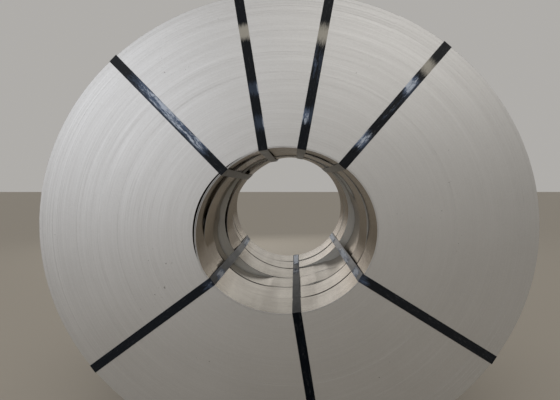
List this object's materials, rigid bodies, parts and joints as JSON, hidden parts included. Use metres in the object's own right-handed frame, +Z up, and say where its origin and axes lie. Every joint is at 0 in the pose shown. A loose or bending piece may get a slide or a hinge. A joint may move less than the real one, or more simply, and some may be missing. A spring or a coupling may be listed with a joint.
{
  "type": "steel coil",
  "caption": "Bundle of slit steel coils side by side with a level eye, held by flat steel straps that run round the wall through the eye.",
  "frame": {"origin": "on the floor, below the middle of the bundle", "axes": "+X across the front, +Y along the eye from the front coil to the back one, +Z up"},
  "size_m": [1.73, 1.058, 1.622],
  "materials": {
    "strip": "satin, with fine turn lines on the ends",
    "strap": "glossy black with scuffs",
    "seal": "dark, semi-gloss"
  },
  "bodies": {
    "root": {"slit_coil_1": "strip", "slit_coil_2": "strip", "slit_coil_3": "strip", "slit_coil_4": "strip", "slit_coil_5": "strip", "slit_coil_6": "strip", "strap_upper_left": "strap", "strap_top_left": "strap", "strap_top_right": "strap", "strap_upper_right": "strap", "strap_lower_right": "strap", "strap_bottom": "strap", "strap_lower_left": "strap", "seal_upper_left": "seal", "seal_top_left": "seal", "seal_top_right": "seal", "seal_upper_right": "seal", "seal_lower_right": "seal", "seal_bottom": "seal", "seal_lower_left": "seal"}
  },
  "joints": []
}
